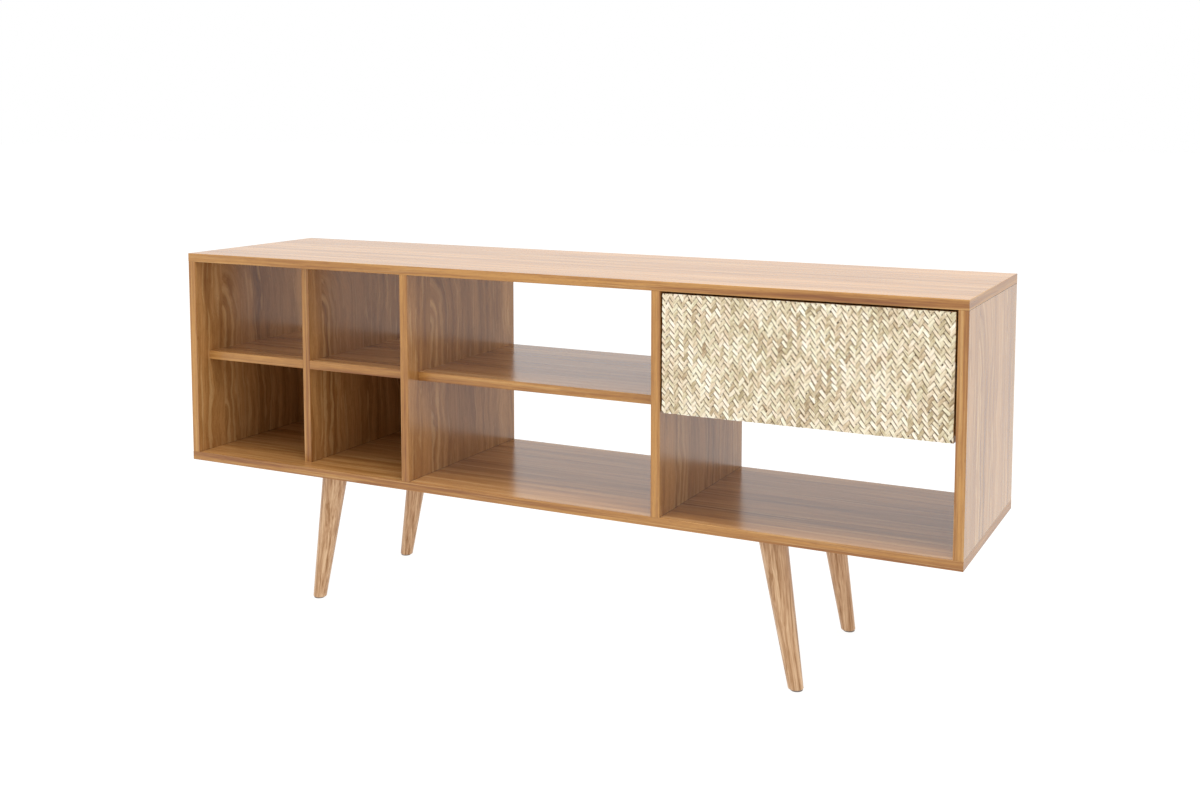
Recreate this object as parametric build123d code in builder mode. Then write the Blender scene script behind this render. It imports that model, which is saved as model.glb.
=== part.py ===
from build123d import *
import math
import os

os.makedirs("parts", exist_ok=True)

# A low media cabinet: a laminated carcass with three equal bays on four splayed legs.
# The left bay is split into four cubbies, the middle bay has one shelf, and the right bay
# has a drawer with a woven front above an open compartment.
# Frame: origin on the floor under the middle of the carcass, +X right, +Y back, +Z up.

# Driving dimensions, in millimetres
width = 1400.0
depth = 350.0
carcass_height = 380.0
leg_height = 232.0
board = 15.0
edging = 1.0
edging_round = 0.6
shelf_recess = 32.0

# Dowel joints
dowel_radius = 4.0
dowel_play = 0.1
face_hole_depth = 10.0
end_hole_depth = 20.0
dowel_end_gap = 0.5
dowel_chamfer = 0.8
upright_dowel_rows = (-110.0, 10.0, 130.0)
shelf_left_dowel_rows = (-100.0, 100.0)
shelf_right_dowel_rows = (-60.0, 140.0)

# Hardboard backs of the two lower cubbies and of the drawer's compartment
back_board = 4.0
back_setback = 12.0
back_tongue = 4.5
groove_play = 0.2

# Legs, cut level at both ends and splayed along the length of the cabinet
leg_end_inset = 292.0
leg_edge_inset = 40.0
leg_splay = 40.0
leg_top_radius = 22.0
leg_foot_radius = 11.5
leg_foot_round = 1.5
glide_radius = 9.5
glide_thickness = 2.5
glide_chamfer = 0.6
glide_pin_radius = 1.0
glide_pin_length = 12.0
glide_pin_play = 0.1
bolt_radius = 4.0
bolt_in_panel = 11.0
bolt_in_leg = 35.0
bolt_tip = 6.0
bolt_tip_radius = 1.0
bolt_play = 0.1
insert_radius = 6.0
insert_length = 12.0
insert_play = 0.05

# How much deeper a blind hole goes than what stands in it
hole_overdepth = 1.0

# Drawer front: a plain board with a woven facing glued to it, flush with the carcass
front_gap = 3.0
front_overlap = 4.0
facing_thickness = 3.0
front_board = 12.0

# Drawer box
box_board = 12.0
box_side_round = 2.0
box_height = 120.0
box_lift = 10.0
box_bottom = 4.0
box_bottom_lift = 8.0
box_bottom_tongue = 5.0
box_back_drop = 12.0

# Ball-bearing runners with three members
runner_length = 300.0
runner_setback = 2.0
runner_thickness = 12.7
runner_gauge = 1.2
outer_member_height = 35.0
outer_member_depth = 9.6
middle_member_height = 27.8
middle_member_start = 3.2
middle_member_end = 9.8
inner_member_height = 20.0
inner_member_start = 6.0
runner_screw_rows = (25.0, 150.0, 275.0)

# Ball cages: thin strips with a row of balls, above and below in each gap between two members
cage_length = 150.0
cage_setback = 75.0
cage_gauge = 0.6
outer_cage_span = (4.0, 9.0)
inner_cage_span = (6.4, 9.4)
ball_play = 0.1
balls_in_row = 8

# Screws
screw_head_radius = 3.0
screw_head_height = 1.6
screw_shank_radius = 1.6
screw_play = 0.1
runner_screw_length = 10.0
front_screw_length = 20.0
front_screw_spread = 280.0
box_screw_inset = 30.0
box_screw_length = 32.0
recess_width = 0.8
recess_length = 3.2
recess_depth = 0.9
countersink_angle = 45.0

# Levels and faces that follow from them
front = -depth / 2
back = depth / 2
bay_floor = leg_height + board
cabinet_top = leg_height + carcass_height
bay_ceiling = cabinet_top - board
bay_width = (width - 4 * board) / 3
cubby_width = (bay_width - board) / 2
shelf_middle = (bay_floor + bay_ceiling) / 2
shelf_underside = shelf_middle - board / 2
shelf_top = shelf_middle + board / 2
recessed_front = front + shelf_recess
back_face = back - back_setback - back_board

# Centre plane of each upright board
divider_x = (bay_width + board) / 2
side_x = (width - board) / 2
upright_x = {
    "left_side": -side_x,
    "cubby_divider": -side_x + board + cubby_width,
    "bay_divider_left": -divider_x,
    "bay_divider_right": divider_x,
    "right_side": side_x,
}

# Each shelf runs between two uprights
shelf_ends = {
    "cubby_shelf_left": ("left_side", "cubby_divider"),
    "cubby_shelf_right": ("cubby_divider", "bay_divider_left"),
    "middle_shelf": ("bay_divider_left", "bay_divider_right"),
    "drawer_shelf": ("bay_divider_right", "right_side"),
}


def save(part, name):
    """Label a finished piece and write it to its own file."""
    part.label = name
    export_step(part, f"parts/{name}.step")


def block(low, high, mode=Mode.ADD):
    """Add or cut a square-cornered block between two opposite corners."""
    centre = ((low[0] + high[0]) / 2, (low[1] + high[1]) / 2)
    with BuildSketch(Plane.XY.offset(low[2])) as outline:
        with Locations(centre):
            Rectangle(high[0] - low[0], high[1] - low[1])
    extrude(to_extrude=outline.sketch, amount=high[2] - low[2], mode=mode)


def rod(plane, radius, length, mode=Mode.ADD, taper=0.0):
    """Add or cut a round rod, or a cone, that stands on a plane."""
    with BuildSketch(plane) as outline:
        Circle(radius)
    extrude(to_extrude=outline.sketch, amount=length, taper=taper, mode=mode)


def right_face(name):
    return upright_x[name] + board / 2


def left_face(name):
    return upright_x[name] - board / 2


def upright_joints():
    """Dowel planes between the top and bottom panels and the ends of the uprights.

    Each plane stands on the joint and points into the board that is drilled in its end.
    """
    joints = []
    for name, x in upright_x.items():
        floor_planes = [Plane((x, y, bay_floor), z_dir=(0, 0, 1)) for y in upright_dowel_rows]
        ceiling_planes = [Plane((x, y, bay_ceiling), z_dir=(0, 0, -1)) for y in upright_dowel_rows]
        joints.append(("bottom_panel", name, floor_planes))
        joints.append(("top_panel", name, ceiling_planes))
    return joints


def shelf_joints():
    """Dowel planes between the uprights and the ends of the shelves."""
    joints = []
    for name, (left, right) in shelf_ends.items():
        left_x = right_face(left)
        right_x = left_face(right)
        left_planes = [Plane((left_x, y, shelf_middle), z_dir=(1, 0, 0)) for y in shelf_left_dowel_rows]
        right_planes = [Plane((right_x, y, shelf_middle), z_dir=(-1, 0, 0)) for y in shelf_right_dowel_rows]
        joints.append((left, name, left_planes))
        joints.append((right, name, right_planes))
    return joints


def drill_dowel_holes(board_name):
    """Cut the dowel holes of every joint that the named board shares."""
    for face_board, end_board, planes in upright_joints() + shelf_joints():
        if board_name not in (face_board, end_board):
            continue
        hole_depth = end_hole_depth if board_name == end_board else -face_hole_depth
        for plane in planes:
            rod(plane, dowel_radius + dowel_play, hole_depth, Mode.SUBTRACT)


def build_dowels(name, joints):
    """One fluted beech dowel for each joint plane, all of them in one node."""
    length = face_hole_depth + end_hole_depth - 2 * dowel_end_gap
    with BuildPart() as dowels:
        for _, _, planes in joints:
            for plane in planes:
                rod(plane.offset(dowel_end_gap - face_hole_depth), dowel_radius, length)
        chamfer(dowels.edges().filter_by(GeomType.CIRCLE), dowel_chamfer)
    save(dowels.part, name)


def back_corners():
    """Opposite corners of each hardboard back, with all four edges in their grooves."""
    openings = {
        "cubby_back_left": ("left_side", "cubby_divider", bay_floor, shelf_underside),
        "cubby_back_right": ("cubby_divider", "bay_divider_left", bay_floor, shelf_underside),
        "drawer_bay_back": ("bay_divider_right", "right_side", shelf_top, bay_ceiling),
    }
    corners = {}
    for name, (left, right, floor, ceiling) in openings.items():
        low = (right_face(left) - back_tongue, back_face, floor - back_tongue)
        high = (left_face(right) + back_tongue, back_face + back_board, ceiling + back_tongue)
        corners[name] = (low, high)
    return corners


def cut_back_grooves():
    """Cut the grooves that hold the hardboard backs out of the board in hand."""
    for low, high in back_corners().values():
        groove_low = (low[0] - groove_play, low[1] - groove_play / 2, low[2] - groove_play)
        groove_high = (high[0] + groove_play, high[1] + groove_play / 2, high[2] + groove_play)
        block(groove_low, groove_high, Mode.SUBTRACT)


# ---------------------------------------------------------------- top and bottom panels
leg_x = width / 2 - leg_end_inset
leg_y = depth / 2 - leg_edge_inset
leg_places = {
    "front_left": (-1, -1),
    "front_right": (1, -1),
    "back_left": (-1, 1),
    "back_right": (1, 1),
}

with BuildPart() as top_panel:
    with BuildSketch(Plane.XY.offset(bay_ceiling)):
        Rectangle(width - 2 * edging, depth - 2 * edging)
    extrude(amount=board)
    drill_dowel_holes("top_panel")
    cut_back_grooves()
save(top_panel.part, "top_panel")

with BuildPart() as bottom_panel:
    with BuildSketch(Plane.XY.offset(leg_height)):
        Rectangle(width - 2 * edging, depth - 2 * edging)
    extrude(amount=board)
    drill_dowel_holes("bottom_panel")
    cut_back_grooves()
    for side_x_sign, side_y_sign in leg_places.values():
        insert_plane = Plane((side_x_sign * leg_x, side_y_sign * leg_y, leg_height))
        rod(insert_plane, insert_radius, insert_length, Mode.SUBTRACT)
save(bottom_panel.part, "bottom_panel")

# Edge tape that runs right round the top panel and the bottom panel
for name, level in (("top_panel_edging", bay_ceiling), ("bottom_panel_edging", leg_height)):
    with BuildPart() as panel_edging:
        with BuildSketch(Plane.XY.offset(level)):
            Rectangle(width, depth)
        extrude(amount=board)
        rounded = panel_edging.edges().filter_by(Axis.Z, reverse=True)
        fillet(rounded, edging_round)
        with BuildSketch(Plane.XY.offset(level)):
            Rectangle(width - 2 * edging, depth - 2 * edging)
        extrude(amount=board, mode=Mode.SUBTRACT)
    save(panel_edging.part, name)


# ---------------------------------------------------------------- uprights and their edging
runner_front = front + facing_thickness + front_board + runner_setback
box_underside = shelf_top + box_lift
runner_z = box_underside + box_height / 2


def drill_runner_holes(plane_x, direction):
    """Pilot holes for the three screws of one runner member, into the board in hand."""
    for row in runner_screw_rows:
        plane = Plane((plane_x, runner_front + row, runner_z), z_dir=(direction, 0, 0))
        rod(plane, screw_shank_radius + screw_play, runner_screw_length, Mode.SUBTRACT)


for name, x in upright_x.items():
    front_edge = recessed_front if name == "cubby_divider" else front
    with BuildPart() as upright:
        block((x - board / 2, front_edge + edging, bay_floor), (x + board / 2, back - edging, bay_ceiling))
        drill_dowel_holes(name)
        cut_back_grooves()
        if name == "bay_divider_right":
            drill_runner_holes(right_face(name), -1)
        if name == "right_side":
            drill_runner_holes(left_face(name), 1)
    save(upright.part, name)
    with BuildPart() as upright_edging:
        for low_y in (front_edge, back - edging):
            block((x - board / 2, low_y, bay_floor), (x + board / 2, low_y + edging, bay_ceiling))
        long_edges = upright_edging.edges().filter_by(Axis.Z).group_by(Axis.Y)
        fillet(long_edges[0] + long_edges[-1], edging_round)
    save(upright_edging.part, f"{name}_edging")

# ---------------------------------------------------------------- shelves and their edging
for name, (left, right) in shelf_ends.items():
    left_x = right_face(left)
    right_x = left_face(right)
    with BuildPart() as shelf:
        block((left_x, recessed_front + edging, shelf_underside), (right_x, back - edging, shelf_top))
        drill_dowel_holes(name)
        cut_back_grooves()
    save(shelf.part, name)
    with BuildPart() as shelf_edging:
        for low_y in (recessed_front, back - edging):
            block((left_x, low_y, shelf_underside), (right_x, low_y + edging, shelf_top))
        long_edges = shelf_edging.edges().filter_by(Axis.X).group_by(Axis.Y)
        fillet(long_edges[0] + long_edges[-1], edging_round)
    save(shelf_edging.part, f"{name}_edging")

# ---------------------------------------------------------------- dowels and hardboard backs
build_dowels("upright_dowels", upright_joints())
build_dowels("shelf_dowels", shelf_joints())

for name, (low, high) in back_corners().items():
    with BuildPart() as hardboard_back:
        block(low, high)
    save(hardboard_back.part, name)

# ---------------------------------------------------------------- legs
leg_tilt = math.atan2(leg_splay, leg_height)
leg_axis_length = math.hypot(leg_splay, leg_height)
leg_taper = math.degrees(math.atan2(leg_top_radius - leg_foot_radius, leg_axis_length))
leg_overrun = 10.0
leg_widening = leg_overrun * math.tan(math.radians(leg_taper))

for place, (side_x_sign, side_y_sign) in leg_places.items():
    top_centre = (side_x_sign * leg_x, side_y_sign * leg_y, leg_height)
    down = (side_x_sign * math.sin(leg_tilt), 0, -math.cos(leg_tilt))
    foot_centre_x = side_x_sign * (leg_x + leg_splay)
    foot_plane = Plane((foot_centre_x, top_centre[1], glide_thickness))
    with BuildPart() as leg:
        start = Plane(top_centre, z_dir=down).offset(-leg_overrun)
        rod(start, leg_top_radius + leg_widening, leg_axis_length + 2 * leg_overrun, taper=leg_taper)
        split(bisect_by=Plane.XY.offset(leg_height), keep=Keep.BOTTOM)
        split(bisect_by=Plane.XY.offset(glide_thickness), keep=Keep.TOP)
        fillet(leg.faces().sort_by(Axis.Z)[0].edges(), leg_foot_round)
        bolt_plane = Plane(top_centre, z_dir=(0, 0, -1))
        rod(bolt_plane, bolt_radius + bolt_play, bolt_in_leg + hole_overdepth, Mode.SUBTRACT)
        rod(foot_plane, glide_pin_radius + glide_pin_play, glide_pin_length + hole_overdepth, Mode.SUBTRACT)
    save(leg.part, f"leg_{place}")
    with BuildPart() as glide:
        floor_plane = Plane((foot_centre_x, top_centre[1], 0))
        rod(floor_plane, glide_radius, glide_thickness)
        chamfer(glide.faces().sort_by(Axis.Z)[0].edges(), glide_chamfer)
        rod(foot_plane, glide_pin_radius, glide_pin_length)
    save(glide.part, f"glide_{place}")

with BuildPart() as hanger_bolts:
    for side_x_sign, side_y_sign in leg_places.values():
        bolt_place = (side_x_sign * leg_x, side_y_sign * leg_y, leg_height + bolt_in_panel)
        bolt_top = Plane(bolt_place, z_dir=(0, 0, -1))
        shank_length = bolt_in_panel + bolt_in_leg - bolt_tip
        rod(bolt_top, bolt_radius, shank_length)
        tip_taper = math.degrees(math.atan2(bolt_radius - bolt_tip_radius, bolt_tip))
        rod(bolt_top.offset(shank_length), bolt_radius, bolt_tip, taper=tip_taper)
save(hanger_bolts.part, "hanger_bolts")

with BuildPart() as threaded_inserts:
    for side_x_sign, side_y_sign in leg_places.values():
        insert_plane = Plane((side_x_sign * leg_x, side_y_sign * leg_y, leg_height))
        rod(insert_plane, insert_radius, insert_length)
        rod(insert_plane, bolt_radius + insert_play, insert_length, Mode.SUBTRACT)
save(threaded_inserts.part, "threaded_inserts")

# ---------------------------------------------------------------- drawer front
bay_left = right_face("bay_divider_right")
bay_right = left_face("right_side")
front_left = bay_left + front_gap
front_right = bay_right - front_gap
front_bottom = shelf_underside - front_overlap
front_top = bay_ceiling - front_gap
front_board_face = front + facing_thickness
box_front = front_board_face + front_board
box_depth = runner_length + 2 * runner_setback
box_back = box_front + box_depth
box_left = bay_left + runner_thickness
box_right = bay_right - runner_thickness
box_top = box_underside + box_height
box_inner_left = box_left + box_board
box_inner_right = box_right - box_board
box_inner_front = box_front + box_board
box_inner_back = box_back - box_board
box_middle = (box_left + box_right) / 2
box_bottom_z = box_underside + box_bottom_lift


def pan_head_screw(plane, length):
    """A pan-head screw with a cross recess, on the plane under its head, shank along -Z."""
    rod(plane, screw_head_radius, screw_head_height)
    rod(plane, screw_shank_radius, -length)
    with BuildSketch(plane.offset(screw_head_height)) as recess:
        Rectangle(recess_length, recess_width)
        Rectangle(recess_width, recess_length)
    extrude(to_extrude=recess.sketch, amount=-recess_depth, mode=Mode.SUBTRACT)


with BuildPart() as woven_facing:
    block((front_left, front, front_bottom), (front_right, front_board_face, front_top))
save(woven_facing.part, "woven_facing")

box_screw_levels = (box_underside + box_screw_inset, box_top - box_screw_inset)
front_screw_planes = [
    Plane((x, box_inner_front, z), z_dir=(0, 1, 0))
    for x in (box_middle - front_screw_spread / 2, box_middle + front_screw_spread / 2)
    for z in box_screw_levels
]

with BuildPart() as drawer_front:
    block((front_left, front_board_face, front_bottom), (front_right, box_front, front_top))
    for plane in front_screw_planes:
        rod(plane, screw_shank_radius + screw_play, -front_screw_length - hole_overdepth, Mode.SUBTRACT)
save(drawer_front.part, "drawer_front")

# ---------------------------------------------------------------- drawer box
bottom_low = (box_inner_left - box_bottom_tongue, box_inner_front - box_bottom_tongue, box_bottom_z)
bottom_high_y = box_inner_back + box_bottom_tongue
bottom_high = (box_inner_right + box_bottom_tongue, bottom_high_y, box_bottom_z + box_bottom)

# Countersunk screws that join each box side to the inner front and the back
corner_screw_planes = {"left": [], "right": []}
for y in (box_front + box_board / 2, box_back - box_board / 2):
    for z in box_screw_levels:
        corner_screw_planes["left"].append(Plane((box_left, y, z), z_dir=(-1, 0, 0)))
        corner_screw_planes["right"].append(Plane((box_right, y, z), z_dir=(1, 0, 0)))


def countersunk_screw(plane, length, play=0.0, mode=Mode.ADD):
    """A countersunk screw, or with play its hole, sunk below the plane of a board's face."""
    sink = screw_head_radius - screw_shank_radius
    rod(plane.rotated((180, 0, 0)), screw_head_radius + play, sink, mode, taper=countersink_angle)
    rod(plane, screw_shank_radius + play, -length - play, mode)


def cut_bottom_groove():
    """Cut the groove that the drawer bottom slides into."""
    low = tuple(value - groove_play / 2 for value in bottom_low)
    high = tuple(value + groove_play / 2 for value in bottom_high)
    block(low, high, Mode.SUBTRACT)


def cut_corner_holes(*sides):
    for side in sides:
        for plane in corner_screw_planes[side]:
            countersunk_screw(plane, box_screw_length, screw_play, Mode.SUBTRACT)


for side, low_x, high_x, outer_x, direction in (
    ("left", box_left, box_inner_left, box_left, 1),
    ("right", box_inner_right, box_right, box_right, -1),
):
    with BuildPart() as box_side:
        block((low_x, box_front, box_underside), (high_x, box_back, box_top))
        fillet(box_side.edges().filter_by(Axis.Y).group_by(Axis.Z)[-1], box_side_round)
        cut_bottom_groove()
        cut_corner_holes(side)
        drill_runner_holes(outer_x, direction)
    save(box_side.part, f"drawer_side_{side}")

with BuildPart() as drawer_inner_front:
    block((box_inner_left, box_front, box_underside), (box_inner_right, box_inner_front, box_top))
    cut_bottom_groove()
    cut_corner_holes("left", "right")
    for plane in front_screw_planes:
        rod(plane, screw_shank_radius + screw_play, -box_board, Mode.SUBTRACT)
save(drawer_inner_front.part, "drawer_inner_front")

with BuildPart() as drawer_back:
    back_high = (box_inner_right, box_back, box_top - box_back_drop)
    block((box_inner_left, box_inner_back, box_underside), back_high)
    cut_bottom_groove()
    cut_corner_holes("left", "right")
save(drawer_back.part, "drawer_back")

with BuildPart() as drawer_bottom:
    block(bottom_low, bottom_high)
save(drawer_bottom.part, "drawer_bottom")

with BuildPart() as front_screws:
    for plane in front_screw_planes:
        pan_head_screw(plane, front_screw_length)
save(front_screws.part, "front_screws")

with BuildPart() as box_screws:
    for plane in corner_screw_planes["left"] + corner_screw_planes["right"]:
        countersunk_screw(plane, box_screw_length)
save(box_screws.part, "box_screws")


# ---------------------------------------------------------------- runners
def channel(side, start, end, height, web_at_start):
    """A folded steel channel along the runner, open towards the box or towards the cabinet.

    start and end are distances from the cabinet wall, and the web stands at one of them.
    """
    wall_x = bay_left if side == "left" else bay_right
    direction = 1 if side == "left" else -1
    section_origin = (wall_x, runner_front, runner_z)
    section_plane = Plane(section_origin, x_dir=(direction, 0, 0), z_dir=(0, -direction, 0))
    web = start if web_at_start else end
    opening = end if web_at_start else start
    inset = runner_gauge if web_at_start else -runner_gauge
    half = height / 2
    with BuildPart() as member:
        with BuildSketch(section_plane):
            with BuildLine():
                Polyline(
                    (web, -half),
                    (opening, -half),
                    (opening, runner_gauge - half),
                    (web + inset, runner_gauge - half),
                    (web + inset, half - runner_gauge),
                    (opening, half - runner_gauge),
                    (opening, half),
                    (web, half),
                    close=True,
                )
            make_face()
        extrude(amount=-direction * runner_length)
    return member


def runner_screw_planes(distance, towards_box):
    """Planes under the runner screws' heads, at a distance from each cabinet wall."""
    planes = []
    for wall_x, direction in ((bay_left, 1), (bay_right, -1)):
        head_way = direction if towards_box else -direction
        x = wall_x + direction * distance
        for row in runner_screw_rows:
            planes.append(Plane((x, runner_front + row, runner_z), z_dir=(head_way, 0, 0)))
    return planes


outer_planes = runner_screw_planes(runner_gauge, True)
inner_planes = runner_screw_planes(runner_thickness - runner_gauge, False)

for side in ("left", "right"):
    outer_member = channel(side, 0, outer_member_depth, outer_member_height, True)
    with outer_member:
        for plane in outer_planes:
            rod(plane, screw_shank_radius + screw_play, -runner_gauge, Mode.SUBTRACT)
    save(outer_member.part, f"runner_outer_{side}")
    middle_member = channel(side, middle_member_start, middle_member_end, middle_member_height, True)
    save(middle_member.part, f"runner_middle_{side}")
    inner_member = channel(side, inner_member_start, runner_thickness, inner_member_height, False)
    with inner_member:
        for plane in inner_planes:
            rod(plane, screw_shank_radius + screw_play, -runner_gauge, Mode.SUBTRACT)
    save(inner_member.part, f"runner_inner_{side}")


def ball_cage(side, span, gap):
    """Two strips with their balls, in the gaps above and below a member.

    span is the strips' reach from the cabinet wall, and gap is the lower and upper face of
    the space that the balls roll in, measured from the runner's middle.
    """
    wall_x = bay_left if side == "left" else bay_right
    direction = 1 if side == "left" else -1
    near_x, far_x = sorted((wall_x + direction * span[0], wall_x + direction * span[1]))
    cage_front = runner_front + cage_setback
    ball_radius = (gap[1] - gap[0]) / 2 - ball_play
    spacing = cage_length / balls_in_row
    ball_x = (near_x + far_x) / 2
    with BuildPart() as cage:
        for row in (-1, 1):
            row_z = runner_z + row * (gap[0] + gap[1]) / 2
            low = (near_x, cage_front, row_z - cage_gauge / 2)
            block(low, (far_x, cage_front + cage_length, row_z + cage_gauge / 2))
            places = [(ball_x, cage_front + (i + 0.5) * spacing, row_z) for i in range(balls_in_row)]
            for x, y, z in places:
                rod(Plane((x, y, z - cage_gauge)), ball_radius + ball_play, 2 * cage_gauge, Mode.SUBTRACT)
            with Locations(*places):
                Sphere(ball_radius)
    return cage


outer_gap = (middle_member_height / 2, outer_member_height / 2 - runner_gauge)
inner_gap = (inner_member_height / 2, middle_member_height / 2 - runner_gauge)
for side in ("left", "right"):
    save(ball_cage(side, outer_cage_span, outer_gap).part, f"ball_cage_outer_{side}")
    save(ball_cage(side, inner_cage_span, inner_gap).part, f"ball_cage_inner_{side}")

with BuildPart() as runner_cabinet_screws:
    for plane in outer_planes:
        pan_head_screw(plane, runner_screw_length)
save(runner_cabinet_screws.part, "runner_cabinet_screws")

with BuildPart() as runner_drawer_screws:
    for plane in inner_planes:
        pan_head_screw(plane, runner_screw_length)
save(runner_drawer_screws.part, "runner_drawer_screws")
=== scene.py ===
import math
import random

import bpy
import numpy as np
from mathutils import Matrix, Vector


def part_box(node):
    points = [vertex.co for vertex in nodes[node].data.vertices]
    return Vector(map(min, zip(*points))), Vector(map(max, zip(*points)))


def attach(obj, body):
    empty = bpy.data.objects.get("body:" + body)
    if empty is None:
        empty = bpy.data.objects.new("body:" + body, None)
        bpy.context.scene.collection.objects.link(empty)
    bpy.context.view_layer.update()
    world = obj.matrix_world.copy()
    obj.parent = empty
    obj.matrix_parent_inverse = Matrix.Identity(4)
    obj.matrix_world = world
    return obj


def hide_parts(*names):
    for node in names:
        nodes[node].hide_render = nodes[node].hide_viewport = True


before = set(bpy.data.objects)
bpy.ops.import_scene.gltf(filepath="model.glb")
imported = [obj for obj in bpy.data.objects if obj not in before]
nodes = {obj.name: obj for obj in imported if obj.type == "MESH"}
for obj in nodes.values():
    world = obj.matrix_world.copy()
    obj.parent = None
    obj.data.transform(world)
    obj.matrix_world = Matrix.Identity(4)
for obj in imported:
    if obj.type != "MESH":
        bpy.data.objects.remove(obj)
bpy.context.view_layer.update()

# ---------------------------------------------------------------- laminated boards
# The top, bottom, uprights and shelves are particleboard faced with oak-print melamine, a smooth
# half-gloss sheet with a printed figure. The uprights carry the print standing up, with one set of
# nested arches above the other, and the lying boards carry it lengthways, nearly straight.


def linear(hex_colour):
    """sRGB hex to linear colour: c / 12.92 near black, ((c + 0.055) / 1.055) ** 2.4 above."""
    channels = [int(hex_colour[i:i + 2], 16) / 255 for i in (1, 3, 5)]
    return [c / 12.92 if c <= 0.04045 else ((c + 0.055) / 1.055) ** 2.4 for c in channels] + [1.0]


def add_node(tree, kind, inputs=None, stops=None, **settings):
    """Add a shader node with its settings and ramp stops; inputs that are sockets are linked, others set."""
    node = tree.nodes.new("ShaderNode" + kind)
    for name, value in settings.items():
        setattr(node, name, value)
    for name, value in (inputs or {}).items():
        if isinstance(value, bpy.types.NodeSocket):
            tree.links.new(value, node.inputs[name])
        else:
            node.inputs[name].default_value = value
    if stops:
        while len(node.color_ramp.elements) < len(stops):
            node.color_ramp.elements.new(0.5)
        for element, (position, colour) in zip(node.color_ramp.elements, stops):
            element.position = position
            element.color = linear(colour)
    return node


def new_material(name):
    """A material with an empty tree."""
    material = bpy.data.materials.new(name)
    material.use_nodes = True
    material.node_tree.nodes.clear()
    return material, material.node_tree


def finish_material(tree, **inputs):
    """Close the tree with a principled surface, whose inputs are named with underscores for spaces."""
    named = {name.replace("_", " "): value for name, value in inputs.items()}
    surface = add_node(tree, "BsdfPrincipled", named)
    add_node(tree, "OutputMaterial", {"Surface": surface.outputs[0]})


def stretched_noise(tree, place, grain, along_mm, across_mm, detail, seed=0.0, roughness=0.5):
    """Noise whose cells measure along_mm on the grain axis and across_mm on the two others."""
    scale = [1000 / across_mm] * 3
    scale[grain] = 1000 / along_mm
    shift = (seed, 0.7 * seed, 1.3 * seed)
    mapped = add_node(tree, "Mapping", {"Vector": place, "Scale": scale, "Location": shift})
    inputs = {"Vector": mapped.outputs[0], "Scale": 1.0, "Detail": detail, "Roughness": roughness}
    return add_node(tree, "TexNoise", inputs)


def weighted_sum(tree, parts, start=0.0):
    """start + the sum of weight * socket over the parts."""
    total = start
    for socket, weight in parts:
        inputs = {0: socket, 1: weight, 2: total}
        total = add_node(tree, "Math", inputs, operation="MULTIPLY_ADD").outputs[0]
    return total


def bend(tree, place, grain, along_mm, across_mm, reach_mm, seed):
    """Push coordinates sideways of the grain by up to reach_mm, following slow noise."""
    sway = stretched_noise(tree, place, grain, along_mm, across_mm, 2.0, seed)
    push = [reach_mm / 1000] * 3
    push[grain] = 0.0
    inputs = {0: sway.outputs["Color"], 1: push, 2: place}
    return add_node(tree, "VectorMath", inputs, operation="MULTIPLY_ADD").outputs[0]


def arch_distance(tree, flow, grain, centres):
    """How far out in the nested arches a point is: sqrt(across^2 + along^2) from the nearest centre.

    across counts 1.3 times on the front side of the centre. along is 0.55 times the height above the
    centre, so that the arches close over it, or 0.06 times the depth below it, so that their legs
    run on. Between two centres the smaller distance counts, with the change rounded over 12 mm.
    """
    behind_and_above = [0.0, 1.0, 0.0]
    behind_and_above[grain] = 0.55
    before_and_below = [0.0, -1.3, 0.0]
    before_and_below[grain] = -0.06
    rounding = 0.012
    nearest = None
    for centre in centres:
        offset = add_node(tree, "VectorMath", {0: flow, 1: centre}, operation="SUBTRACT").outputs[0]
        inputs = {0: offset, 1: behind_and_above}
        above = add_node(tree, "VectorMath", inputs, operation="MULTIPLY").outputs[0]
        inputs = {0: offset, 1: before_and_below}
        below = add_node(tree, "VectorMath", inputs, operation="MULTIPLY").outputs[0]
        longer = add_node(tree, "VectorMath", {0: above, 1: below}, operation="MAXIMUM").outputs[0]
        reach = add_node(tree, "VectorMath", {0: longer}, operation="LENGTH").outputs["Value"]
        if nearest is not None:
            inputs = {0: nearest, 1: reach, 2: rounding}
            reach = add_node(tree, "Math", inputs, operation="SMOOTH_MIN").outputs[0]
        nearest = reach
    return nearest


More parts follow.
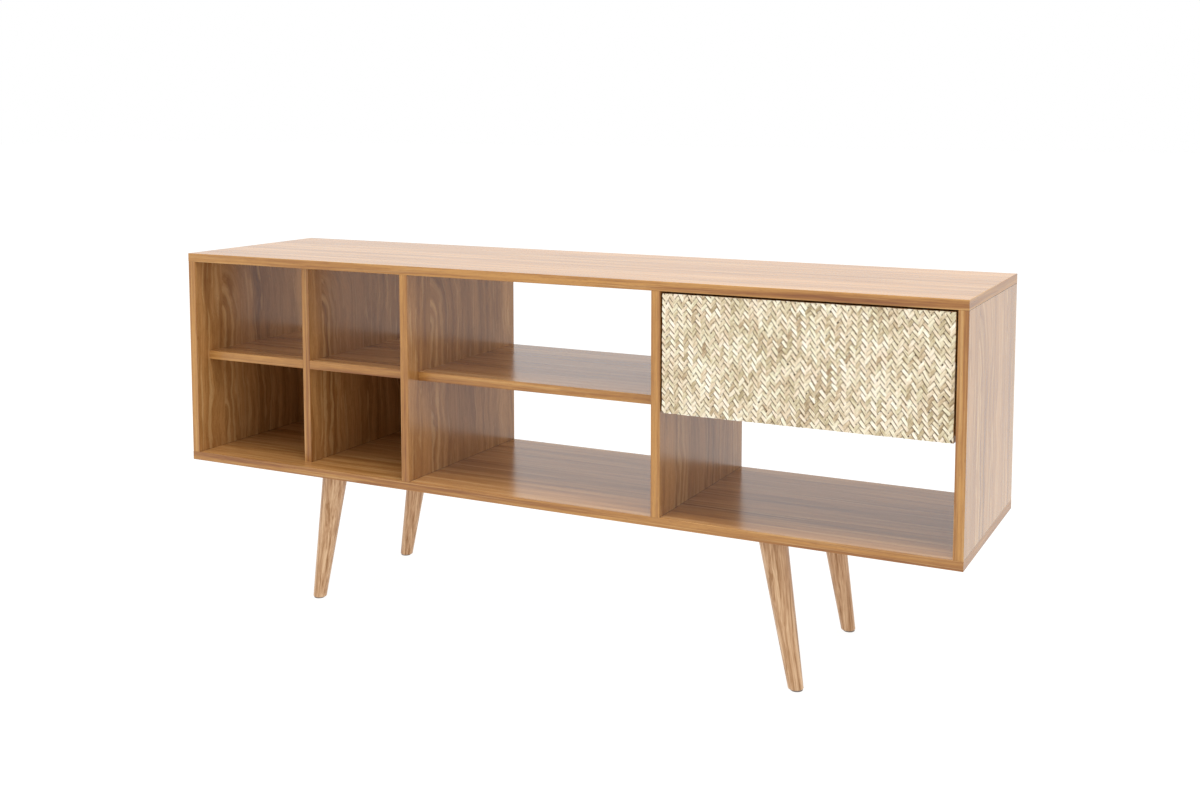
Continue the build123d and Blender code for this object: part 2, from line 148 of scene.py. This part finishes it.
def arched_figure(tree, place, flow, grain, centres, seam, seed):
    """Coordinates whose streaks follow nested arches, and the light growth rings between the streaks.

    The distance across the board is replaced by the distance from the arch centres. Nearer the
    front than the seam it stays as it is, shifted by 1 m, which is another plank with straight
    grain. The rings are a sine of that distance, 17 mm a turn, and fade from 30 to 58 mm out.
    """
    ring_width = 0.017
    split = add_node(tree, "SeparateXYZ", {0: flow})
    front_to_back = add_node(tree, "SeparateXYZ", {0: place}).outputs["Y"]
    in_front = add_node(tree, "Math", {0: front_to_back, 1: seam}, operation="LESS_THAN").outputs[0]
    arched = arch_distance(tree, flow, grain, centres)
    other_plank = weighted_sum(tree, [(split.outputs["Y"], 1.0)], 1.0)
    distance = add_node(tree, "Mix", {0: in_front, 2: arched, 3: other_plank}).outputs[0]
    inputs = {"X": split.outputs["X"], "Y": distance, "Z": split.outputs["Z"]}
    figure = add_node(tree, "CombineXYZ", inputs).outputs[0]

    wander = stretched_noise(tree, figure, grain, 60, 22, 2.0, seed)
    uneven = weighted_sum(tree, [(wander.outputs["Fac"], 0.026)], distance)
    inputs = {0: uneven, 1: 2 * math.pi / ring_width}
    turns = add_node(tree, "Math", inputs, operation="MULTIPLY").outputs[0]
    ring = add_node(tree, "Math", {0: turns}, operation="SINE").outputs[0]
    crest = add_node(tree, "MapRange", {"Value": ring, "From Min": -0.3, "From Max": 1.0}).outputs[0]
    inputs = {"Value": distance, "From Min": 0.030, "From Max": 0.058, "To Min": 0.55, "To Max": 0.0}
    fade = add_node(tree, "MapRange", inputs).outputs[0]
    rings = add_node(tree, "Math", {0: crest, 1: fade}, operation="MULTIPLY").outputs[0]
    return figure, rings


def wood_print(name, grain, colours, arches=(), seam=0.0, sway=(200, 70, 26), gloss=0.2, seed=0.0,
               around_rim=False, fineness=1.0, joint_shade_heights=()):
    """Wood print with its grain on one axis (0, 1 or 2); the colours run vein, dark, light, line.

    Tone, streaks, light lines and fibres are noise drawn out along the grain, and pores are specks.
    sway is the length, width and reach in mm of the slow bends in the grain, and the widths of tone,
    streaks and lines are multiplied by fineness. around_rim takes the grain along x and along y, as
    tape runs. Within 0.7 mm of a joint height the colour is darkened, painted shade where boards meet.
    """
    vein, dark, light, line = colours
    material, tree = new_material(name)
    place = add_node(tree, "TexCoord").outputs["Object"]
    if around_rim:
        inputs = {0: place, 1: (1.0, 1.0, 0.0)}
        along = add_node(tree, "VectorMath", inputs, operation="DOT_PRODUCT").outputs["Value"]
        height = add_node(tree, "SeparateXYZ", {0: place}).outputs["Z"]
        place = add_node(tree, "CombineXYZ", {"X": along, "Z": height}).outputs[0]
    flow = bend(tree, place, grain, *sway, seed)
    rings = None
    if arches:
        flow, rings = arched_figure(tree, place, flow, grain, arches, seam, seed)

    tone = stretched_noise(tree, flow, grain, 900, 45 * fineness, 2.0, seed)
    streak = stretched_noise(tree, flow, grain, 400, 16 * fineness, 4.0, seed, 0.55)
    fine_line = stretched_noise(tree, flow, grain, 360, 8 * fineness, 3.0, seed + 3.1)
    fibre = stretched_noise(tree, flow, grain, 35, 1.5, 3.0, seed, 0.65)
    pore = stretched_noise(tree, flow, grain, 8, 0.6, 1.0, seed)
    parts = [(streak.outputs["Fac"], 0.55), (fibre.outputs["Fac"], 0.30), (tone.outputs["Fac"], 0.45)]
    stops = [(0.36, vein), (0.50, dark), (0.67, light)]
    colour = add_node(tree, "ValToRGB", {"Fac": weighted_sum(tree, parts, -0.08)}, stops).outputs["Color"]

    inputs = {"Value": fine_line.outputs["Fac"], "From Min": 0.56, "From Max": 0.70, "To Max": 0.5}
    lit = add_node(tree, "MapRange", inputs).outputs[0]
    if rings:
        lit = add_node(tree, "Math", {0: rings, 1: lit}, operation="MAXIMUM").outputs[0]
    colour = add_node(tree, "Mix", {0: lit, 6: colour, 7: linear(line)}, data_type="RGBA").outputs[2]
    inputs = {"Value": pore.outputs["Fac"], "From Min": 0.60, "From Max": 0.72, "To Max": 0.4}
    pores = add_node(tree, "MapRange", inputs).outputs[0]
    colour = add_node(tree, "Mix", {0: pores, 6: colour, 7: linear(vein)}, data_type="RGBA").outputs[2]
    # Painted shade: a dark line within 0.7 mm of each joint height, where an upright meets a panel.
    if joint_shade_heights:
        height = add_node(tree, "SeparateXYZ", {0: place}).outputs["Z"]
        joint_shades = []
        for joint_shade_height in joint_shade_heights:
            inputs = {0: height, 1: joint_shade_height, 2: 0.0007}
            joint_shades.append(add_node(tree, "Math", inputs, operation="COMPARE").outputs[0])
        inputs = {0: weighted_sum(tree, [(cut, 0.6) for cut in joint_shades]), 6: colour, 7: linear("#4A3019")}
        colour = add_node(tree, "Mix", inputs, data_type="RGBA").outputs[2]

    inputs = {"Value": fibre.outputs["Fac"], "From Min": 0.3, "From Max": 0.7,
              "To Min": gloss - 0.03, "To Max": gloss + 0.05}
    sheen = add_node(tree, "MapRange", inputs).outputs[0]
    inputs = {"Height": pores, "Strength": 0.5, "Distance": 0.00005}
    relief = add_node(tree, "Bump", inputs, invert=True).outputs[0]
    finish_material(tree, Base_Color=colour, Roughness=sheen, Normal=relief, IOR=1.5)
    return material


def dress(names, material):
    """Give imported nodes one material."""
    for name in names:
        nodes[name].data.materials.clear()
        nodes[name].data.materials.append(material)


uprights = ["left_side", "cubby_divider", "bay_divider_left", "bay_divider_right", "right_side"]
shelves = ["cubby_shelf_left", "cubby_shelf_right", "middle_shelf", "drawer_shelf"]
panels = ["top_panel", "bottom_panel"]
side_low, side_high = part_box("right_side")
upper_arch = (0, side_low.y + 0.078, side_low.z + 0.251)
lower_arch = (0, side_low.y + 0.080, side_low.z + 0.061)
plank_seam = side_low.y + 0.068
oak = ("#80532A", "#9D6D3A", "#BC8B55", "#D6AE78")
standing_oak = wood_print(
    "oak_print_melamine_standing", 2, oak, arches=(upper_arch, lower_arch), seam=plank_seam,
    sway=(130, 60, 30), seed=5.9, joint_shade_heights=(side_low.z, side_high.z))
lying_oak = wood_print("oak_print_melamine_lying", 0, oak, sway=(600, 100, 26), seed=8.4)
dress(uprights, standing_oak)
dress(shelves + panels, lying_oak)

# ---------------------------------------------------------------- edge tape
# Every cut edge is closed with 1 mm oak-print tape, glued on hot and trimmed with a small round.
# It is warmer than the faces, with its grain along the edge and round the corners.
tape = ("#7E4C26", "#9B6834", "#BC894A", "#D6AC70")
tape_finish = {"sway": (300, 60, 8), "gloss": 0.3, "fineness": 0.3}
lying_tape = wood_print("oak_edge_tape_lying", 0, tape, seed=1.7, around_rim=True, **tape_finish)
standing_tape = wood_print("oak_edge_tape_standing", 2, tape, seed=5.2, **tape_finish)
dress([f"{name}_edging" for name in shelves + panels], lying_tape)
dress([f"{name}_edging" for name in uprights], standing_tape)

# ---------------------------------------------------------------- hardboard backs and dowels
# Thin hardboard with the same print closes the two lower cubbies and the drawer's compartment.
# Beech dowels, glued inside the boards, hold the carcass together.
dress(["cubby_back_left", "cubby_back_right", "drawer_bay_back"], standing_oak)
beech = ("#A87B4C", "#C99C6A", "#D9B384", "#E2C195")
dress(["upright_dowels", "shelf_dowels"], wood_print("raw_beech", 0, beech, gloss=0.6, seed=2.2))

# ---------------------------------------------------------------- legs
# Each leg is turned from solid wood to a plain taper, splayed, sawn level at both ends, and given a
# clear satin lacquer. It was cut across the run of the grain, so the rings cross it in long slants.


def mesh_piece(name, points, faces, smooth_under=None):
    """Make a mesh object from points and faces, smooth where faces meet under an angle."""
    mesh = bpy.data.meshes.new(name)
    mesh.from_pydata(points.tolist(), [], faces)
    piece = bpy.data.objects.new(name, mesh)
    bpy.context.scene.collection.objects.link(piece)
    if smooth_under is not None:
        mesh.shade_smooth()
        mesh.set_sharp_from_angle(angle=smooth_under)
    return piece


def tube_faces(rings, around, first=0):
    """Quads between rings of points that follow each other, and a cap on either end. The points are
    numbered from first, ring by ring."""
    row = first + around * np.arange(rings - 1)[:, None]
    here = np.arange(around)
    there = (here + 1) % around
    quads = np.stack([row + here, row + there, row + around + there, row + around + here], axis=-1)
    last = first + around * (rings - 1)
    return quads.reshape(-1, 4).tolist() + [(first + here[::-1]).tolist(), (last + here).tolist()]


def turned_leg(place):
    """A cone about a leaning axis, cut level: at each angle the surface runs straight from the top
    cut to the foot cut, then over a quarter-round into the foot. The radius falls evenly along the
    axis. The leg is 0.05 to 0.2 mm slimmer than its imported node."""
    lean = 0.040
    foot_radius = 0.0115
    foot_round = 0.0015
    glide_height = 0.0025
    low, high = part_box(f"leg_{place}")
    side = 1 if low.x > 0 else -1
    outer = high.x if side > 0 else low.x
    top_radius = (high.y - low.y) / 2 - 0.00005
    foot_x = outer - side * (foot_radius + 0.0002)
    top = np.array([foot_x - side * lean, (low.y + high.y) / 2, high.z])
    axis = np.array([side * lean, 0, low.z - high.z - glide_height])
    length = np.linalg.norm(axis)
    axis /= length
    across = np.array([-axis[2], 0, axis[0]])
    beside = np.array([0, 1.0, 0])
    upright = np.array([0, 0, 1.0])
    taper = (top_radius - foot_radius) / length
    around = 96
    angle = np.linspace(0, 2 * np.pi, around, endpoint=False)
    share = np.linspace(0, 1, 24)[:, None]
    fall = axis[2] - taper * across[2] * np.cos(angle)
    start = -top_radius * across[2] * np.cos(angle) / fall
    end = start + (low.z + foot_round - high.z) / fall
    along = start + share * (end - start)
    way = np.cos(angle)[:, None] * across + np.sin(angle)[:, None] * beside
    body = top + along[..., None] * axis + (top_radius - taper * along)[..., None] * way
    inward = body[-1].mean(axis=0) - body[-1]
    inward /= np.linalg.norm(inward, axis=1)[:, None]
    turn = np.linspace(0, np.pi / 2, 5)[1:, None, None]
    foot = body[-1] + foot_round * (1 - np.cos(turn)) * inward - foot_round * np.sin(turn) * upright
    points = np.concatenate([body, foot]).reshape(-1, 3)
    faces = tube_faces(len(body) + len(foot), around)
    return mesh_piece(f"turned_leg_{place}", points, faces, math.radians(40))


def lacquered_oak():
    """Solid oak, its grain leaning two thirds as far as the leg does, so that streaks run out of the
    turned surface at a slant; fibres can be felt through the lacquer."""
    grain_lean = 0.12
    material, tree = new_material("lacquered_solid_oak")
    place = add_node(tree, "TexCoord").outputs["Object"]
    mirrored = add_node(tree, "VectorMath", {0: place}, operation="ABSOLUTE").outputs[0]
    inputs = {0: mirrored, 1: (1.0, 0.0, grain_lean)}
    sideways = add_node(tree, "VectorMath", inputs, operation="DOT_PRODUCT").outputs["Value"]
    split = add_node(tree, "SeparateXYZ", {0: place})
    inputs = {"X": sideways, "Y": split.outputs["Y"], "Z": split.outputs["Z"]}
    leaning = add_node(tree, "CombineXYZ", inputs).outputs[0]
    flow = bend(tree, leaning, 2, 150, 30, 12, 6.0)
    streak = stretched_noise(tree, flow, 2, 150, 4, 3.0, 1.0, 0.6)
    fibre = stretched_noise(tree, flow, 2, 28, 0.9, 2.0, 2.0)
    level = weighted_sum(tree, [(streak.outputs["Fac"], 0.75), (fibre.outputs["Fac"], 0.30)])
    stops = [(0.39, "#946839"), (0.52, "#BA9068"), (0.65, "#D6B28A")]
    colour = add_node(tree, "ValToRGB", {"Fac": level}, stops).outputs["Color"]
    inputs = {"Height": fibre.outputs["Fac"], "Strength": 0.25, "Distance": 0.0001}
    relief = add_node(tree, "Bump", inputs).outputs[0]
    finish_material(tree, Base_Color=colour, Roughness=0.36, Normal=relief, IOR=1.5)
    return material


leg_wood = lacquered_oak()
corners = ("front_left", "front_right", "back_left", "back_right")
for corner in corners:
    leg = turned_leg(corner)
    leg.data.materials.append(leg_wood)
    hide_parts(f"leg_{corner}")
    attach(leg, "cabinet")

# ---------------------------------------------------------------- glides
# A moulded nylon disc is pinned under each foot, so that the cabinet slides without marking the floor.
# The mould leaves it matt, with a very fine grain.


def moulded_nylon():
    """Grey-brown nylon, matt, with a grain of 0.4 mm cells from the mould."""
    material, tree = new_material("moulded_nylon")
    place = add_node(tree, "TexCoord").outputs["Object"]
    grit = stretched_noise(tree, place, 2, 0.4, 0.4, 2.0).outputs["Fac"]
    stops = [(0.3, "#6E6156"), (0.7, "#80736A")]
    colour = add_node(tree, "ValToRGB", {"Fac": grit}, stops).outputs["Color"]
    relief = add_node(tree, "Bump", {"Height": grit, "Strength": 0.3, "Distance": 0.00005}).outputs[0]
    finish_material(tree, Base_Color=colour, Roughness=0.55, Normal=relief, IOR=1.53)
    return material


dress([f"glide_{corner}" for corner in corners], moulded_nylon())

# ---------------------------------------------------------------- steel fittings
# Screws, hanger bolts and inserts are turned steel with bright zinc plating, like the ball cages. The
# runners are cold-rolled strip, zinc plated, with faint rolling lines along their length.


def plated_steel(name, along_mm, across_mm, roughness):
    """Zinc plating over steel: pale grey metal whose gloss varies along the tool's or the roll's marks."""
    material, tree = new_material(name)
    place = add_node(tree, "TexCoord").outputs["Object"]
    marks = stretched_noise(tree, place, 1, along_mm, across_mm, 3.0).outputs["Fac"]
    stops = [(0.3, "#B9BBBD"), (0.7, "#D2D3D4")]
    colour = add_node(tree, "ValToRGB", {"Fac": marks}, stops).outputs["Color"]
    inputs = {"Value": marks, "To Min": roughness - 0.08, "To Max": roughness + 0.08}
    sheen = add_node(tree, "MapRange", inputs).outputs[0]
    finish_material(tree, Base_Color=colour, Metallic=1.0, Roughness=sheen)
    return material


bright_zinc = plated_steel("bright_zinc_plate", 3, 1.2, 0.32)
rolled_zinc = plated_steel("rolled_zinc_strip", 60, 0.6, 0.36)
fasteners = ("screws", "hanger_bolts", "threaded_inserts")
rolled_strips = ("runner_outer", "runner_middle", "runner_inner")
dress([name for name in nodes if name.endswith(fasteners) or name.startswith("ball_cage")], bright_zinc)
dress([name for name in nodes if name.startswith(rolled_strips)], rolled_zinc)

# ---------------------------------------------------------------- drawer box
# Sides, inner front and back are 12 mm board wrapped in pale birch foil, screwed through the sides, and
# the bottom is thin hardboard in grooves. The front board behind the plait has the carcass's print.
birch = ("#BFA27C", "#D6BF9D", "#E2CFB2", "#EBDCC4")
dress(["drawer_side_left", "drawer_side_right"], wood_print("birch_foil_lengthways", 1, birch, gloss=0.4))
dress(["drawer_inner_front", "drawer_back"], wood_print("birch_foil_crossways", 0, birch, gloss=0.4))
dress(["drawer_bottom"], wood_print("birch_printed_hardboard", 0, birch, gloss=0.5, seed=4.0))
dress(["drawer_front"], lying_oak)

# ---------------------------------------------------------------- plaited facing
# A mat of split rush: flat strips under 6 mm wide, plaited over two and under two on both diagonals, so
# that the floats stand in zigzag rows. It is glued over a backing cloth to the drawer front; the cloth's
# dark brown is painted shade in the gaps between the strips.
mat_low, mat_high = [np.array(corner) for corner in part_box("woven_facing")]
strip_pitch = 0.00587
strip_slope = math.radians(52.4)
strip_width = 0.0058
strip_thickness = 0.0005
chance = random.Random(11)


def strip_ends(offsets, way, normal):
    """Where lines at these offsets along the normal enter and leave the mat, as distances along the way."""
    base = np.outer(normal, offsets)
    first = (mat_low[[0, 2]][:, None] - base) / way[:, None]
    second = (mat_high[[0, 2]][:, None] - base) / way[:, None]
    return np.minimum(first, second).max(axis=0), np.maximum(first, second).min(axis=0)


def out_of_true(x, z):
    """Pull points up to 1.4 mm by the sines of two slanting distances, which both diagonals share, as a
    hand-made pattern is. The pull fades out over the last 12 mm before the mat's rim."""
    margin = 0.012
    to_sides = np.minimum(x - mat_low[0], mat_high[0] - x)
    to_rim = np.minimum(to_sides, np.minimum(z - mat_low[2], mat_high[2] - z))
    pull = 0.0014 * np.clip(to_rim, 0, margin) / margin
    pulled_x = x + pull * np.sin(57 * z + 33 * x + 1.0)
    pulled_z = z + pull * np.sin(74 * x - 31 * z + 2.3)
    return np.clip(pulled_x, mat_low[0], mat_high[0]), np.clip(pulled_z, mat_low[2], mat_high[2])


def plaited_strips(name, lean, tilt, rims, painted_light_tone):
    """All the strips of one diagonal, rising (lean 1) or falling (lean -1), as one mesh.

    With c the crossings that a strip has passed, its middle stands at
    depth * tanh(2.2 * lean * cos(pi / 2 * (c + 0.5))), a float over two and then under two. On top
    comes its section, a flat band with sharp rims, a rib on its face and a keel under it, tilted so
    that one rim overlaps the next strip. Its line wanders sideways by 0.4 mm * sin(along / reach).
    Every strip has a width, place and tone of its own, and every float a depth and tone of its own.
    """
    way = np.array([math.cos(strip_slope), lean * math.sin(strip_slope)])
    normal = np.array([-lean * math.sin(strip_slope), math.cos(strip_slope)])
    other_normal = np.array([lean * math.sin(strip_slope), math.cos(strip_slope)])
    across = np.array([-0.5, -0.35, -0.26, 0.36, 0.5, 0.0])
    section = np.array([0.0, 0.5, 0.5, 0.5, 0.0, -0.5]) * strip_thickness - tilt * across
    face_rib = 2
    section[face_rib] += 0.0001
    middle_y = mat_low[1] + 0.00152
    draws = 64
    corner_offsets = np.add.outer([mat_low[0] * normal[0], mat_high[0] * normal[0]],
                                  [mat_low[2] * normal[1], mat_high[2] * normal[1]])
    first_strip = math.ceil(corner_offsets.min() / strip_pitch)
    last_strip = math.floor(corner_offsets.max() / strip_pitch)
    points, faces, axes, tints = [], [], [], []
    count = 0
    strip_tone = 0.0
    for strip in range(first_strip, last_strip + 1):
        own_width = strip_width * chance.uniform(0.90, 1.02)
        side = strip * strip_pitch + chance.uniform(-0.0009, 0.0009) + across * own_width
        start, end = strip_ends(side, way, normal)
        start += chance.uniform(0.0, 0.0009)
        end -= chance.uniform(0.0, 0.0009)
        if (end - start).min() < strip_pitch / 2:
            continue
        strip_tone = 0.5 * strip_tone + chance.uniform(-0.9, 0.9)
        own_chance = np.random.default_rng(chance.randrange(10 ** 6))
        lag, tone_step, hue_step = own_chance.uniform(-1, 1, (3, draws))
        share = np.linspace(0, 1, max(3, int((end - start).max() / strip_pitch * 4)))[:, None]
        along = start + share * (end - start)
        wander = 0.0004 * np.sin(along / chance.uniform(0.005, 0.012) + chance.uniform(0, 6))
        x = along * way[0] + (side + wander) * normal[0]
        z = along * way[1] + (side + wander) * normal[1]
        crossing = lean * ((x * other_normal[0] + z * other_normal[1]) / strip_pitch - strip)
        crossing += chance.uniform(-0.35, 0.35) + 0.25 * lag[np.floor(crossing).astype(int) % draws]
        which = np.floor((crossing - 0.5 * lean) / 4).astype(int) % draws
        depth = 0.00050 + 0.00008 * lag[which]
        height = depth * np.tanh(2.2 * lean * np.cos(np.pi / 2 * (crossing + 0.5))) + section
        x, z = out_of_true(x, z)
        # Painted light: the tone offset makes the falling strips lighter and the rising strips darker, as
        # light from the upper right would.
        tone = painted_light_tone + 0.5 * strip_tone + 0.5 * tone_step[which]
        points.append(np.stack([x, middle_y - height, z], axis=-1).reshape(-1, 3))
        axes.append(np.stack([along, side + 0 * along, 0.1 * strip + 0 * along], axis=-1).reshape(-1, 3))
        # The tint holds the tone, the hue and the painted shade of the rims and keel.
        tints.append(np.stack([tone, hue_step[which], rims + 0 * along], axis=-1).reshape(-1, 3))
        faces.extend(tube_faces(len(share), len(across), count))
        count += along.size
    mat = mesh_piece(name, np.concatenate(points), faces, math.radians(50))
    for label, values in (("strip_axes", axes), ("strip_tint", tints)):
        attribute = mat.data.attributes.new(label, "FLOAT_VECTOR", "POINT")
        attribute.data.foreach_set("vector", np.concatenate(values).astype(np.float32).ravel())
    return mat


def split_rush():
    """Dried rush, split flat: straw cream with tan, pinkish and greenish floats, fine ribs along each
    strip, and rims and keels darkened brown as painted shade."""
    material, tree = new_material("split_rush")
    strip_axes = add_node(tree, "Attribute", attribute_name="strip_axes").outputs["Vector"]
    strip_tint = add_node(tree, "Attribute", attribute_name="strip_tint").outputs["Vector"]
    tint = add_node(tree, "SeparateXYZ", {0: strip_tint})
    place = add_node(tree, "TexCoord").outputs["Object"]
    ribs = stretched_noise(tree, strip_axes, 0, 18, 0.8, 3.0, 0.0, 0.6).outputs["Fac"]
    stain = stretched_noise(tree, strip_axes, 0, 8, 4, 2.0).outputs["Fac"]
    patch = stretched_noise(tree, place, 1, 35, 35, 1.0).outputs["Fac"]
    parts = [(tint.outputs["X"], 0.25), (ribs, 0.9), (stain, 0.5), (patch, 0.3)]
    stops = [(0.12, "#8C7655"), (0.36, "#C9B795"), (0.56, "#E9DDC2"), (0.80, "#FAF4E4")]
    straw = add_node(tree, "ValToRGB", {"Fac": weighted_sum(tree, parts, -0.31)}, stops).outputs["Color"]
    cast = add_node(tree, "MapRange", {"Value": tint.outputs["Y"], "From Min": -1.0}).outputs[0]
    inputs = {0: cast, 6: (0.97, 1.0, 0.95, 1.0), 7: (1.0, 0.94, 0.93, 1.0)}
    hue = add_node(tree, "Mix", inputs, data_type="RGBA").outputs[2]
    inputs = {0: 1.0, 6: straw, 7: hue}
    toned = add_node(tree, "Mix", inputs, data_type="RGBA", blend_type="MULTIPLY").outputs[2]
    # Painted shade: the rims and keels darken toward this brown.
    inputs = {0: tint.outputs["Z"], 6: toned, 7: linear("#4F3216")}
    colour = add_node(tree, "Mix", inputs, data_type="RGBA").outputs[2]
    relief = add_node(tree, "Bump", {"Height": ribs, "Strength": 0.5, "Distance": 0.00015}).outputs[0]
    finish_material(tree, Base_Color=colour, Roughness=0.48, Normal=relief, IOR=1.45)
    return material


def shade_brown_cotton():
    """Plain cotton cloth, quite matt, with slubs along its threads, dark brown as painted shade."""
    material, tree = new_material("shade_brown_backing_cotton")
    place = add_node(tree, "TexCoord").outputs["Object"]
    slubs = stretched_noise(tree, place, 0, 6, 0.8, 1.0).outputs["Fac"]
    stops = [(0.3, "#3E3120"), (0.7, "#57462D")]
    colour = add_node(tree, "ValToRGB", {"Fac": slubs}, stops).outputs["Color"]
    finish_material(tree, Base_Color=colour, Roughness=0.9, IOR=1.45)
    return material


def backing_cloth():
    """A flat sheet 0.4 mm thick against the drawer front, 1 mm short of the mat on every side: its
    lowest corner plus its size times 0 or 1 on each axis."""
    inset = 0.001
    thickness = 0.0004
    low = np.array([mat_low[0] + inset, mat_high[1] - thickness, mat_low[2] + inset])
    size = np.array([mat_high[0] - mat_low[0] - 2 * inset, thickness, mat_high[2] - mat_low[2] - 2 * inset])
    corner_shares = np.indices((2, 2, 2)).reshape(3, -1)[::-1].T
    faces = [[0, 1, 5, 4], [2, 6, 7, 3], [0, 4, 6, 2], [1, 3, 7, 5], [0, 2, 3, 1], [4, 5, 7, 6]]
    return mesh_piece("plait_backing", low + corner_shares * size, faces)


rush = split_rush()
# Painted shade on the rims and keels, strongest on the falling strips' lower-left rims.
rising = plaited_strips("plait_rising", 1, 0.0001, np.array([0.5, 0.1, 0.0, 0.0, 0.3, 1.0]), -0.3)
falling = plaited_strips("plait_falling", -1, 0.0006, np.array([1.0, 0.9, 0.0, 0.0, 0.4, 1.0]), 0.2)
for piece, material in ((rising, rush), (falling, rush), (backing_cloth(), shade_brown_cotton())):
    piece.data.materials.append(material)
    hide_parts("woven_facing")
    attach(piece, "drawer")

# ---------------------------------------------------------------- floor, light and camera
# The cabinet stands on a white floor that glows a little, in an even white surround, with one large
# soft light high on the right that rakes across the plait.


def studio_floor_paint():
    """White matt paint, lit through from below so that shadows on it stay faint."""
    material, tree = new_material("white_studio_floor")
    place = add_node(tree, "TexCoord").outputs["Object"]
    mottle = stretched_noise(tree, place, 2, 250, 250, 2.0).outputs["Fac"]
    stops = [(0.3, "#6D6D6D"), (0.7, "#707070")]
    colour = add_node(tree, "ValToRGB", {"Fac": mottle}, stops).outputs["Color"]
    glow = {"Emission_Color": (1, 1, 1, 1), "Emission_Strength": 0.93}
    finish_material(tree, Base_Color=colour, Roughness=0.9, Specular_IOR_Level=0.0, **glow)
    return material


floor_half = 30.0
floor_level = -0.0002
floor_shares = np.array([[-1, -1], [1, -1], [-1, 1], [1, 1]])
floor_points = np.column_stack([floor_half * floor_shares, np.full(4, floor_level)])
floor = mesh_piece("floor", floor_points, [[0, 1, 3, 2]])
floor.data.materials.append(studio_floor_paint())

world = bpy.data.worlds.new("studio_tent")
bpy.context.scene.world = world
world.use_nodes = True
world.node_tree.nodes["Background"].inputs["Color"].default_value = (1, 1, 1, 1)
world.node_tree.nodes["Background"].inputs["Strength"].default_value = 1.0

key_data = bpy.data.lights.new("soft_side_light", "AREA")
key_data.shape = "DISK"
key_data.size = 1.6
key_data.energy = 55
key = bpy.data.objects.new("soft_side_light", key_data)
key.location = (0.4, -0.7, 3.2)
key_way = np.array([0.2, 0.0, 0.45]) - np.array(key.location)
key_tilt = math.acos(-key_way[2] / np.linalg.norm(key_way))
key_turn = math.atan2(key_way[1], key_way[0]) - math.pi / 2
key.rotation_euler = (key_tilt, 0, key_turn)
bpy.context.scene.collection.objects.link(key)

camera_data = bpy.data.cameras.new("camera")
camera_data.sensor_width = 36
camera_data.lens = 41.69
camera_data.shift_y = -0.135
camera = bpy.data.objects.new("camera", camera_data)
camera.location = (1.0981, -2.0735, 0.8650)
camera.rotation_euler = (math.radians(90 - 5.14), 0, math.radians(26.86))
bpy.context.scene.collection.objects.link(camera)
bpy.context.scene.camera = camera
bpy.context.scene.view_settings.view_transform = "Standard"
